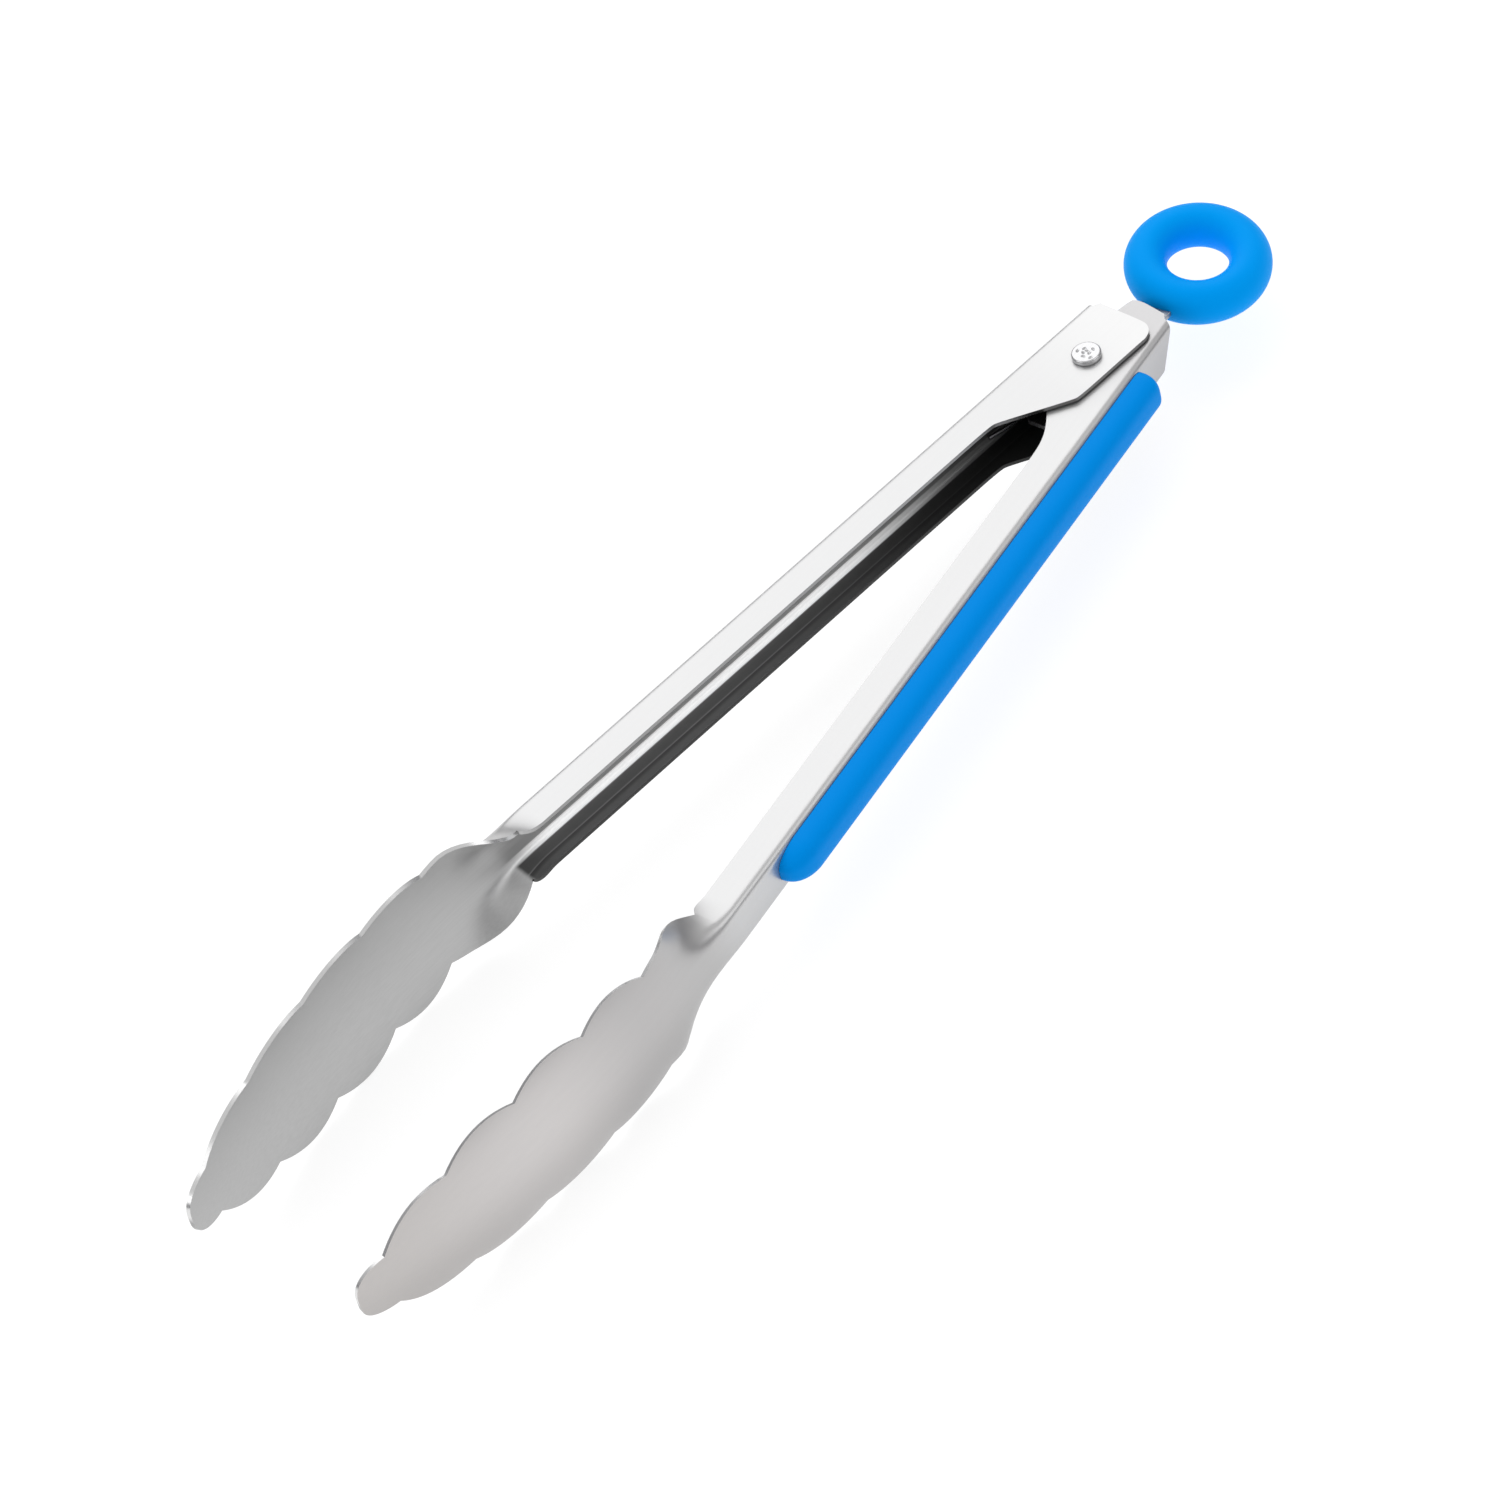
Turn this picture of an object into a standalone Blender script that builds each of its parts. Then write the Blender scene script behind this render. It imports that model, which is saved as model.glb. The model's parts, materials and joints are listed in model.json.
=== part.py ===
"""Spring-loaded kitchen tongs, about 300 mm long, modelled lying on their side.

Frame: metres, +X from the tips towards the pull ring, +Y towards the outer arm, +Z along the
pivot rivet. The origin is under the middle of the tongs, on the surface that they lie on.

Each arm is one stamped sheet. Its blank is described by s, the length along the arm from the
pivot, and t, the width across the sheet from the arm's centre line. The same two folds make a
channel for the handle, and open out into a shallow spoon with a scalloped rim at the tip.
"""
import math

import bmesh
import bpy
import numpy as np
from mathutils import Matrix, Vector

MM = 0.001

# Overall layout
HALF_OPENING = math.radians(6.3)
PIVOT = Vector((99.4, 0.2, 15.31)) * MM
CLEARANCE = 0.3 * MM

# Sheet arms
SHEET = 0.8 * MM
WEB_DISTANCE = 10.25 * MM         # pivot axis to the outer face of the web
FLANGE_DEPTH = 7.3 * MM
FOLD_RADIUS = 1.2 * MM           # at the middle of the sheet
OUTER_HALF_WIDTH = 5.86 * MM     # half the outer arm's channel, outside
INNER_HALF_WIDTH = OUTER_HALF_WIDTH - SHEET - CLEARANCE

# Ears round the pivot. Their free edge is (s, distance past the pivot axis), in millimetres
EAR_EDGE = 6.4
OUTER_EAR_EDGE = [(9.2, EAR_EDGE), (10.6, 5.8), (22.8, -2.2), (24.6, -2.95)]
INNER_EAR_EDGE = [(5.5, EAR_EDGE), (7.0, 5.8), (15.5, 0.2), (20.5, -2.1), (25.0, -2.95)]
EAR_ROOT = -4.0 * MM             # the sheet's ends are shaped beyond this station

# Neck and spoon
OPENING_START = 147.0 * MM       # where the flanges start to turn out
NECK_START = 149.5 * MM          # where their rounded ends begin
NECK_END = 170.0 * MM
CORNER_LENGTH = 3.0 * MM         # size of the flange's rounded end
CORNER_DEPTH = 1.6 * MM
CURVE_START = 158.5 * MM
CURVE_RADIUS = 250.0 * MM        # the spoon's inward curve
DISH_RADIUS = 37.0 * MM          # the spoon's hollow, across
FOLD_SPREAD = 7.0 * MM           # extra width of the fold as it fades into the spoon
SCALLOP_CUSPS = [(173.4, 12.1), (190.6, 13.2), (209.0, 13.4), (227.2, 11.5), (244.2, 6.0)]
SCALLOP_RISE = 2.3 * MM
TIP_LENGTH = 251.8 * MM
TIP_BLUNTNESS = 0.1              # share of the last lobe's width that is left at its very end

# Rivet, sleeve and spring
RIVET_RADIUS = 2.0 * MM
RIVET_HEAD_RADIUS = 2.95 * MM
RIVET_HEAD_HEIGHT = 0.9 * MM
RIVET_CROWN_RADIUS = 2.3 * MM
RIVET_HOLE_RADIUS = 2.15 * MM
SLEEVE_RADIUS = 3.0 * MM
WIRE_RADIUS = 0.45 * MM
COIL_RADIUS = 3.8 * MM
COIL_NEAR = 1.3 * MM             # height of the coil's first and last turn over the middle plane
COIL_FAR = 3.2 * MM
COIL_WHOLE_TURNS = 1
LEG_REACH = 20.0 * MM

# Lock slide and pull ring
SLIDE_THICKNESS = 1.0 * MM
SLIDE_TRAVEL = 9.0 * MM
SLIDE_HALF_WIDTH = 5.2 * MM
SLIDE_WING = 7.6 * MM
WING_FRONT = -5.0 * MM
WING_BACK = 0.0 * MM
SLIDE_FRONT = -15.5 * MM
SLIDE_SHOULDER = 12.0 * MM
NECK_HALF_WIDTH = 3.5 * MM
RING_CENTRE = 35.75 * MM
RING_RADIUS = 10.3 * MM
RING_TUBE = 4.25 * MM            # half the ring's section, radially
RING_HALF_HEIGHT = 4.45 * MM
EYE_OUTER = 12.7 * MM
EYE_INNER = 8.6 * MM

# Silicone grip on the inner arm's web
GRIP_START = -1.9 * MM
GRIP_END = 134.5 * MM
GRIP_HEIGHT = 5.0 * MM
GRIP_EDGE_MARGIN = 0.9 * MM
GRIP_NOSE = 2.4 * MM             # length of its rounded end at the hinge
GRIP_TAIL = 7.0 * MM             # length of its rounded end at the spoon


def clear_scene():
    for item in list(bpy.data.objects):
        bpy.data.objects.remove(item, do_unlink=True)


def make_material(name, colour, roughness, metallic):
    material = bpy.data.materials.new(name)
    material.use_nodes = True
    shader = material.node_tree.nodes["Principled BSDF"]
    shader.inputs["Base Color"].default_value = (*colour, 1.0)
    shader.inputs["Roughness"].default_value = roughness
    shader.inputs["Metallic"].default_value = metallic
    return material


def add_object(name, mesh, material, parent, location=(0, 0, 0), turn=0.0):
    item = bpy.data.objects.new(name, mesh)
    bpy.context.scene.collection.objects.link(item)
    item.parent = parent
    item.location = location
    item.rotation_euler = (0, 0, turn)
    mesh.materials.append(material)
    mesh.shade_smooth()
    mesh.set_sharp_from_angle(angle=math.radians(35))
    return item


def mesh_from_bmesh(name, shape):
    bmesh.ops.recalc_face_normals(shape, faces=shape.faces)
    mesh = bpy.data.meshes.new(name)
    shape.to_mesh(mesh)
    shape.free()
    return mesh


def add_cutter(name, mesh):
    cutter = bpy.data.objects.new(name, mesh)
    bpy.context.scene.collection.objects.link(cutter)
    cutter.hide_render = True
    cutter.display_type = "WIRE"
    return cutter


def subtract(item, cutter):
    cut = item.modifiers.new(cutter.name, "BOOLEAN")
    cut.operation = "DIFFERENCE"
    cut.object = cutter


def smooth_step(value):
    value = np.clip(value, 0.0, 1.0)
    return value * value * (3.0 - 2.0 * value)


# ---------------------------------------------------------------- the stamped sheet of an arm

def fold_start(half_width):
    return half_width - SHEET / 2 - FOLD_RADIUS


def flange_start(half_width):
    return fold_start(half_width) + FOLD_RADIUS * math.pi / 2


def handle_blank(half_width):
    """Half the blank's width where the arm is a plain channel."""
    straight = FLANGE_DEPTH - SHEET / 2 - FOLD_RADIUS
    return flange_start(half_width) + straight


def rim_arc(start, end, share, rise):
    """Point on an arc of the given rise over the chord from start to end."""
    along = Vector(end) - Vector(start)
    outward = Vector((-along.y, along.x)).normalized()
    bulge = rise * 4.0 * share * (1.0 - share)
    return Vector(start) + along * share + outward * bulge


def rim_stations(half_width, steps):
    """Stations (s, half blank) from the end of the handle to the tip of the spoon."""
    blank = handle_blank(half_width)
    cusps = [(NECK_START + CORNER_LENGTH, blank - CORNER_DEPTH)]
    cusps += [(s * MM, t * MM) for s, t in SCALLOP_CUSPS]
    stations = [(OPENING_START, blank), ((OPENING_START + NECK_START) / 2, blank)]
    for index in range(steps):
        angle = index / steps * math.pi / 2
        stations.append((NECK_START + CORNER_LENGTH * math.sin(angle),
                         blank - CORNER_DEPTH * (1.0 - math.cos(angle))))
    for start, end in zip(cusps, cusps[1:]):
        for index in range(steps):
            point = rim_arc(start, end, index / steps, SCALLOP_RISE)
            stations.append((point.x, point.y))
    last_s, last_t = cusps[-1]
    tip_steps = 2 * steps
    for index in range(tip_steps + 1):
        angle = index / tip_steps * math.pi / 2
        s = last_s + (TIP_LENGTH - last_s) * math.sin(angle)
        t = last_t * (TIP_BLUNTNESS + (1 - TIP_BLUNTNESS) * math.cos(angle) ** 0.75)
        stations.append((s, t))
    return stations


def ear_stations(half_width, ear_edge):
    """Stations (s, half blank) along the ears, from their root to the plain channel."""
    base = flange_start(half_width) - (FOLD_RADIUS + SHEET / 2 - WEB_DISTANCE)
    edge = [(EAR_ROOT, EAR_EDGE * MM)] + [(s * MM, v * MM) for s, v in ear_edge]
    plain = edge[-1][1]
    edge += [(60 * MM, plain), (100 * MM, plain)]
    return [(s, base + v) for s, v in edge]


def sheet_angle(s, t, half_width):
    """Slope of the sheet against its web, at t from the centre line."""
    opened = smooth_step((s - OPENING_START) / (NECK_END - OPENING_START))
    fold = math.pi / 2 * (1.0 - opened)
    width = FOLD_RADIUS * math.pi / 2 + FOLD_SPREAD * opened
    centre = (fold_start(half_width) + flange_start(half_width)) / 2
    ramp = np.clip((t - centre) / width + 0.5, 0.0, 1.0)
    return fold * ramp + opened * t / DISH_RADIUS


def sheet_point(s, t, offset, half_width):
    """Point of the arm (u along, v towards the other arm, w across), offset from mid-sheet."""
    side = 1.0 if t >= 0 else -1.0
    reach = abs(t)
    count = 60
    middles = (np.arange(count) + 0.5) / count * reach
    angles = sheet_angle(s, middles, half_width)
    height = float(np.sum(np.sin(angles))) * reach / count
    across = float(np.sum(np.cos(angles))) * reach / count
    slope = float(sheet_angle(s, np.array(reach), half_width))
    height += offset * math.cos(slope)
    across -= offset * math.sin(slope)
    turn = max(s - CURVE_START, 0.0) / CURVE_RADIUS
    u = min(s, CURVE_START) + CURVE_RADIUS * math.sin(turn)
    v = SHEET / 2 - WEB_DISTANCE + CURVE_RADIUS * (1 - math.cos(turn))
    return u - height * math.sin(turn), v + height * math.cos(turn), side * across


def width_lines(half_width):
    """Places across half the sheet, in the plain channel, that every station repeats."""
    start = fold_start(half_width)
    flat = flange_start(half_width)
    blank = handle_blank(half_width)
    folds = [start + (flat - start) * share for share in (0.0, 0.33, 0.67, 1.0)]
    flange = [flat + (blank - flat) * share for share in (0.3, 0.55, 0.7, 0.82, 0.92, 1.0)]
    return [start * 0.5] + folds + flange


def line_at(line, blank, half_width):
    """Where one of those lines runs at a station whose half blank is given."""
    flat = flange_start(half_width)
    plain = handle_blank(half_width)
    if blank > plain and line > flat:
        return flat + (line - flat) * (blank - flat) / (plain - flat)
    return line


def arm_mesh(name, half_width, ear_edge, web_end, ear_ends, side):
    """Sheet arm along +x. Its web lies on the -y side for side=1, and on +y for side=-1."""
    lines = width_lines(half_width)
    across = [-line for line in reversed(lines)] + [0.0] + lines
    plain = handle_blank(half_width)
    stations = ear_stations(half_width, ear_edge) + rim_stations(half_width, 4)
    rows = []
    end_row = []
    for line in across:
        t = math.copysign(line_at(abs(line), stations[0][1], half_width), line)
        end_row.append((end_station(t, half_width, web_end, ear_ends), t))
    rows.append(end_row)
    for s, blank in stations:
        scale = blank / plain if s >= NECK_START else 1.0
        row = []
        for line in across:
            reach = abs(line) * scale if s >= NECK_START else line_at(abs(line), blank, half_width)
            row.append((s, math.copysign(reach, line)))
        rows.append(row)
    shape = bmesh.new()
    faces = {}
    for offset in (-SHEET / 2, SHEET / 2):
        faces[offset] = []
        for row in rows:
            points = [sheet_point(s, t, offset, half_width) for s, t in row]
            faces[offset].append([shape.verts.new((u, side * v, w)) for u, v, w in points])
    outer, inner = faces.values()
    for grid in (outer, inner):
        for row, following in zip(grid, grid[1:]):
            for index in range(len(across) - 1):
                shape.faces.new((row[index], row[index + 1], following[index + 1], following[index]))
    border = [(0, index) for index in range(len(across))]
    border += [(index, len(across) - 1) for index in range(1, len(rows))]
    border += [(len(rows) - 1, index) for index in range(len(across) - 2, -1, -1)]
    border += [(index, 0) for index in range(len(rows) - 2, 0, -1)]
    for here, there in zip(border, border[1:] + border[:1]):
        shape.faces.new((outer[here[0]][here[1]], outer[there[0]][there[1]],
                         inner[there[0]][there[1]], inner[here[0]][here[1]]))
    return mesh_from_bmesh(name, shape)


def end_station(t, half_width, web_end, ear_ends):
    """Where the sheet stops at its hinge end. The web's end may be cut on a slant."""
    corner = flange_start(half_width)
    ear = ear_ends[0] if t > 0 else ear_ends[1]
    if abs(t) <= corner:
        share = (t + corner) / (2 * corner)
        return web_end[1] + (web_end[0] - web_end[1]) * share
    depth = abs(t) - corner + FOLD_RADIUS + SHEET / 2 - WEB_DISTANCE
    depths = [point[0] * MM for point in ear]
    ends = [point[1] * MM for point in ear]
    return float(np.interp(depth, depths, ends))


def cylinder(shape, radius_low, radius_high, low, high, segments, axis_at=(0, 0)):
    matrix = Matrix.Translation((axis_at[0], axis_at[1], (low + high) / 2))
    bmesh.ops.create_cone(shape, cap_ends=True, segments=segments, radius1=radius_low,
                          radius2=radius_high, depth=high - low, matrix=matrix)


def lathe_mesh(name, profile, segments):
    """Closed turned piece round z from (radius, height) points. Radius 0 closes an end."""
    shape = bmesh.new()
    rings = []
    for radius, height in profile:
        if radius == 0:
            rings.append([shape.verts.new((0, 0, height))])
            continue
        turns = [2 * math.pi * index / segments for index in range(segments)]
        rings.append([shape.verts.new((radius * math.cos(a), radius * math.sin(a), height))
                      for a in turns])
    pairs = list(zip(rings, rings[1:]))
    if profile[0][0] != 0:
        pairs.append((rings[-1], rings[0]))
    for low, high in pairs:
        for index in range(segments):
            following = (index + 1) % segments
            corners = [low[index % len(low)], low[following % len(low)],
                       high[following % len(high)], high[index % len(high)]]
            shape.faces.new(list(dict.fromkeys(corners)))
    return mesh_from_bmesh(name, shape)


# ---------------------------------------------------------------- pieces

def build_arms(steel, parent):
    outer_end = (-11.2 * MM, -11.2 * MM)
    outer_ear = [(-8.6, -12.5), (2.8, -13.2), (4.2, -12.9), (5.5, -12.0), (6.1, -11.0), (6.4, -9.9)]
    inner_end = (-15.2 * MM, -8.6 * MM)
    inner_tongue = [(-8.6, -16.2), (0.2, -18.7), (1.1, -14.6), (2.6, -12.6), (4.9, -11.4), (6.4, -9.6)]
    inner_ear = [(-8.6, -9.2), (2.0, -11.2), (4.2, -10.9), (5.8, -10.0), (6.4, -8.6)]
    outer_mesh = arm_mesh("outer_arm", OUTER_HALF_WIDTH, OUTER_EAR_EDGE, outer_end,
                          (outer_ear, outer_ear), 1)
    inner_mesh = arm_mesh("inner_arm", INNER_HALF_WIDTH, INNER_EAR_EDGE, inner_end,
                          (inner_tongue, inner_ear), -1)
    outer = add_object("outer_arm", outer_mesh, steel, parent, turn=math.pi - HALF_OPENING)
    inner = add_object("inner_arm", inner_mesh, steel, parent, turn=math.pi + HALF_OPENING)
    shape = bmesh.new()
    reach = OUTER_HALF_WIDTH + 2 * MM
    cylinder(shape, RIVET_HOLE_RADIUS, RIVET_HOLE_RADIUS, -reach, reach, 24)
    drill = add_cutter("cutter_rivet_hole", mesh_from_bmesh("cutter_rivet_hole", shape))
    drill.location = PIVOT
    subtract(outer, drill)
    subtract(inner, drill)
    return outer, inner


def grip_mesh(name, half_width):
    """Silicone pad on the outside of a web: flat underneath, crowned, with rounded ends."""
    half = half_width - GRIP_EDGE_MARGIN
    base = WEB_DISTANCE + CLEARANCE
    stations = []
    for share in (0.0, 0.1, 0.25, 0.45, 0.7, 1.0):
        rise = math.sqrt(1.0 - (1.0 - share) ** 2)
        stations.append((GRIP_START + GRIP_NOSE * share, 0.78 + 0.22 * rise, 0.45 + 0.55 * rise))
    for share in (0.0, 0.3, 0.55, 0.75, 0.9, 1.0):
        fall = math.sqrt(1 - (0.97 * share) ** 2)
        stations.append((GRIP_END - GRIP_TAIL * (1 - share), 0.35 + 0.65 * fall, 0.3 + 0.7 * fall))
    crown = [(1.0, 0.0), (1.0, 0.35), (0.93, 0.62), (0.75, 0.84), (0.45, 0.96), (0.0, 1.0)]
    outline = crown + [(-x, y) for x, y in reversed(crown[:-1])]
    shape = bmesh.new()
    rings = []
    for s, width, height in stations:
        ring = []
        for x, y in outline:
            reach = base + y * height * GRIP_HEIGHT
            ring.append(shape.verts.new((s, reach, x * width * half)))
        rings.append(ring)
    for ring, following in zip(rings, rings[1:]):
        for index in range(len(outline)):
            after = (index + 1) % len(outline)
            shape.faces.new((ring[index], ring[after], following[after], following[index]))
    shape.faces.new(rings[0])
    shape.faces.new(rings[-1])
    return mesh_from_bmesh(name, shape)


def build_grip(silicone, parent):
    mesh = grip_mesh("inner_grip", INNER_HALF_WIDTH)
    add_object("inner_grip", mesh, silicone, parent, turn=math.pi + HALF_OPENING)


def build_rivet(steel, parent):
    """Headed rivet: round head on the near ear, formed head on the far ear."""
    face = OUTER_HALF_WIDTH + CLEARANCE
    top = face + RIVET_HEAD_HEIGHT
    rim = top - 0.35 * MM
    profile = [(0, -top), (RIVET_CROWN_RADIUS, -top), (RIVET_HEAD_RADIUS, -rim),
               (RIVET_HEAD_RADIUS, -face), (RIVET_RADIUS, -face), (RIVET_RADIUS, face),
               (RIVET_HEAD_RADIUS, face), (RIVET_HEAD_RADIUS, rim), (RIVET_CROWN_RADIUS, top),
               (0, top)]
    add_object("pivot_rivet", lathe_mesh("pivot_rivet", profile, 24), steel, parent)


def build_sleeve(steel, parent):
    """Spacer on the rivet: it keeps the inner arm's ears apart and carries the coils."""
    end = INNER_HALF_WIDTH - SHEET - CLEARANCE
    profile = [(RIVET_HOLE_RADIUS, -end), (SLEEVE_RADIUS, -end), (SLEEVE_RADIUS, end),
               (RIVET_HOLE_RADIUS, end)]
    add_object("spacer_sleeve", lathe_mesh("spacer_sleeve", profile, 24), steel, parent)


def spring_path():
    """One wire: leg, coil, leg to the inner arm, bridge, and the same mirrored back."""
    web_gap = WEB_DISTANCE - SHEET - CLEARANCE - WIRE_RADIUS
    tip = Vector((-LEG_REACH, LEG_REACH * math.tan(HALF_OPENING) + web_gap / math.cos(HALF_OPENING)))
    bearing = math.atan2(tip.y, tip.x)
    start = bearing - math.acos(COIL_RADIUS / tip.length)
    total = 2 * start + 2 * math.pi * COIL_WHOLE_TURNS
    steps = 20 * (COIL_WHOLE_TURNS + 1)
    half = [Vector((tip.x, tip.y, COIL_FAR))]
    for index in range(steps + 1):
        angle = start - total * index / steps
        height = COIL_FAR + (COIL_NEAR - COIL_FAR) * index / steps
        half.append(Vector((COIL_RADIUS * math.cos(angle), COIL_RADIUS * math.sin(angle), height)))
    half.append(Vector((tip.x + WIRE_RADIUS, -tip.y + WIRE_RADIUS / 4, COIL_NEAR)))
    half.append(Vector((tip.x, -tip.y, COIL_NEAR - WIRE_RADIUS)))
    return half + [Vector((point.x, point.y, -point.z)) for point in reversed(half)]


def build_spring(steel, parent):
    points = spring_path()
    curve = bpy.data.curves.new("torsion_spring", "CURVE")
    curve.dimensions = "3D"
    curve.bevel_depth = WIRE_RADIUS
    curve.bevel_resolution = 2
    curve.use_fill_caps = True
    spline = curve.splines.new("POLY")
    spline.points.add(len(points) - 1)
    for target, point in zip(spline.points, points):
        target.co = (*point, 1.0)
    curve.materials.append(steel)
    item = bpy.data.objects.new("torsion_spring", curve)
    bpy.context.scene.collection.objects.link(item)
    item.parent = parent


def arc_points(centre, radius, first, last, count):
    turns = [first + (last - first) * index / count for index in range(count + 1)]
    return [(centre + radius * math.cos(a), radius * math.sin(a)) for a in turns]


def slide_outline(grow=0.0):
    """Upper half of the plate's outline, from its front edge to the far side of its eye."""
    width = SLIDE_HALF_WIDTH + grow
    wing = SLIDE_WING + grow
    neck = NECK_HALF_WIDTH + grow
    chamfer = 1.2 * MM
    points = [(SLIDE_FRONT, width - chamfer), (SLIDE_FRONT + chamfer, width),
              (WING_FRONT - chamfer, width), (WING_FRONT, wing), (WING_BACK, wing),
              (WING_BACK + chamfer, width), (SLIDE_SHOULDER, width),
              (SLIDE_SHOULDER + chamfer, neck)]
    radius = EYE_OUTER + grow
    join = math.pi - math.asin(neck / radius)
    return points + arc_points(RING_CENTRE, radius, join, 0.0, 20)


def plate(outline, thickness):
    """Flat plate from the upper half of an outline that is mirrored in y."""
    lower = [(x, -y) for x, y in reversed(outline) if y > 1e-6]
    shape = bmesh.new()
    verts = [shape.verts.new((x, y, -thickness / 2)) for x, y in outline + lower]
    face = shape.faces.new(verts)
    extruded = bmesh.ops.extrude_face_region(shape, geom=[face])
    moved = [item for item in extruded["geom"] if isinstance(item, bmesh.types.BMVert)]
    bmesh.ops.translate(shape, verts=moved, vec=(0, 0, thickness))
    return shape


def build_slide(steel, parent):
    """Stamped lock plate: it slides on the sleeve, and its eye sits inside the pull ring."""
    shape = plate(slide_outline(), SLIDE_THICKNESS)
    item = add_object("lock_slide", mesh_from_bmesh("lock_slide", shape), steel, parent)
    reach = 2 * SLIDE_THICKNESS
    slot_radius = SLEEVE_RADIUS + CLEARANCE
    front = arc_points(-SLIDE_TRAVEL, slot_radius, math.pi, math.pi / 2, 6)
    back = arc_points(0.0, slot_radius, math.pi / 2, 0.0, 6)
    slot = add_cutter("cutter_slide_slot", mesh_from_bmesh("cutter_slide_slot", plate(front + back, reach)))
    hole = bmesh.new()
    cylinder(hole, EYE_INNER, EYE_INNER, -reach, reach, 36, (RING_CENTRE, 0))
    eye = add_cutter("cutter_slide_eye", mesh_from_bmesh("cutter_slide_eye", hole))
    for cutter in (slot, eye):
        cutter.location = PIVOT
        subtract(item, cutter)
    return item


def build_ring(silicone, parent):
    """Soft ring moulded over the plate's eye, with a pocket where the plate enters."""
    shape = bmesh.new()
    around, tube = 44, 16
    rings = []
    for index in range(around):
        turn = 2 * math.pi * index / around
        ring = []
        for step in range(tube):
            angle = 2 * math.pi * (step + 0.5) / tube
            radius = RING_RADIUS + RING_TUBE * math.cos(angle)
            height = RING_HALF_HEIGHT * math.sin(angle)
            ring.append(shape.verts.new((radius * math.cos(turn), radius * math.sin(turn), height)))
        rings.append(ring)
    for index in range(around):
        here, there = rings[index], rings[(index + 1) % around]
        for step in range(tube):
            after = (step + 1) % tube
            shape.faces.new((here[step], there[step], there[after], here[after]))
    mesh = mesh_from_bmesh("pull_ring", shape)
    item = add_object("pull_ring", mesh, silicone, parent, location=(RING_CENTRE, 0, 0))
    pocket = pocket_cutter()
    pocket.location = PIVOT
    subtract(item, pocket)
    return item


def pocket_cutter():
    """The plate's eye and neck, grown by the clearance, as a ring with an open mouth."""
    neck = NECK_HALF_WIDTH + CLEARANCE
    outer = EYE_OUTER + CLEARANCE
    inner = EYE_INNER - CLEARANCE
    thickness = SLIDE_THICKNESS + 2 * CLEARANCE
    mouth = RING_CENTRE - RING_RADIUS - RING_TUBE - 1 * MM
    join = math.pi - math.asin(neck / outer)
    outside = [(mouth, neck)] + arc_points(RING_CENTRE, outer, join, 0.0, 24)
    ring = plate(outside, thickness)
    cutter = add_cutter("cutter_ring_pocket", mesh_from_bmesh("cutter_ring_pocket", ring))
    core = bmesh.new()
    cylinder(core, inner, inner, -thickness, thickness, 36, (RING_CENTRE, 0))
    hub = add_cutter("cutter_ring_core", mesh_from_bmesh("cutter_ring_core", core))
    subtract(cutter, hub)
    return cutter


def main():
    clear_scene()
    steel = make_material("satin_steel", (0.78, 0.78, 0.79), 0.32, 1.0)
    inner_steel = make_material("satin_steel_inner_arm", (0.76, 0.76, 0.77), 0.32, 1.0)
    bright_steel = make_material("bright_steel", (0.85, 0.85, 0.86), 0.2, 1.0)
    spring_steel = make_material("spring_steel", (0.55, 0.56, 0.58), 0.3, 1.0)
    silicone = make_material("blue_silicone", (0.0, 0.25, 0.75), 0.55, 0.0)
    pivot = bpy.data.objects.new("pivot_axis", None)
    bpy.context.scene.collection.objects.link(pivot)
    pivot.location = PIVOT
    arms = build_arms(steel, pivot)
    arms[1].data.materials[0] = inner_steel
    build_grip(silicone, pivot)
    build_rivet(bright_steel, pivot)
    build_sleeve(bright_steel, pivot)
    build_spring(spring_steel, pivot)
    build_slide(bright_steel, pivot)
    build_ring(silicone, pivot)


main()
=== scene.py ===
"""Kitchen tongs with scalloped spoon tips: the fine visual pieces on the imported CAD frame.

The two arms are built from the same sheet description as the CAD: s runs along an arm from the
pivot, t across the flat blank, and every point of the blank has one place in the folded arm.
Lengths are in metres. The frame's +X runs from the tips to the ring, +Z along the rivet.
"""
import json
import math

import bmesh
import bpy
import numpy as np
from mathutils import Matrix, Vector


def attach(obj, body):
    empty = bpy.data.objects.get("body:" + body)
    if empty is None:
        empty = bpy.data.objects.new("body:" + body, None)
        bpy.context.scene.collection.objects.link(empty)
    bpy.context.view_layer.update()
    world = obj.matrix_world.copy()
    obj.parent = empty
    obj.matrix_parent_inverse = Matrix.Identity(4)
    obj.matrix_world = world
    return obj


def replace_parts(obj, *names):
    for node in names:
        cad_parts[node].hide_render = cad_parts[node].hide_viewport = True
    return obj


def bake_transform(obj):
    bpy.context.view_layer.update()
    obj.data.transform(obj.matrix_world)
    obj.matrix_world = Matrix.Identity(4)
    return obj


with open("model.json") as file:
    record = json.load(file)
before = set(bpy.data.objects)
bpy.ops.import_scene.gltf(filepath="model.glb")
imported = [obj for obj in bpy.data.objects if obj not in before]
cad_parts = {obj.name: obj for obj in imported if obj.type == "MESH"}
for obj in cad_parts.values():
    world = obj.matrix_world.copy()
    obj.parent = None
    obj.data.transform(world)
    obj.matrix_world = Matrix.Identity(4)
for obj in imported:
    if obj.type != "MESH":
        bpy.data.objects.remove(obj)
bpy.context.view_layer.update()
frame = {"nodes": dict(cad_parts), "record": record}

MM = 0.001

PIVOT = Vector(frame["record"]["behaviour"]["joints"][0]["pos_m"])
HALF_OPENING = math.radians(6.3)
OUTER_TURN = math.pi - HALF_OPENING
INNER_TURN = math.pi + HALF_OPENING

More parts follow.
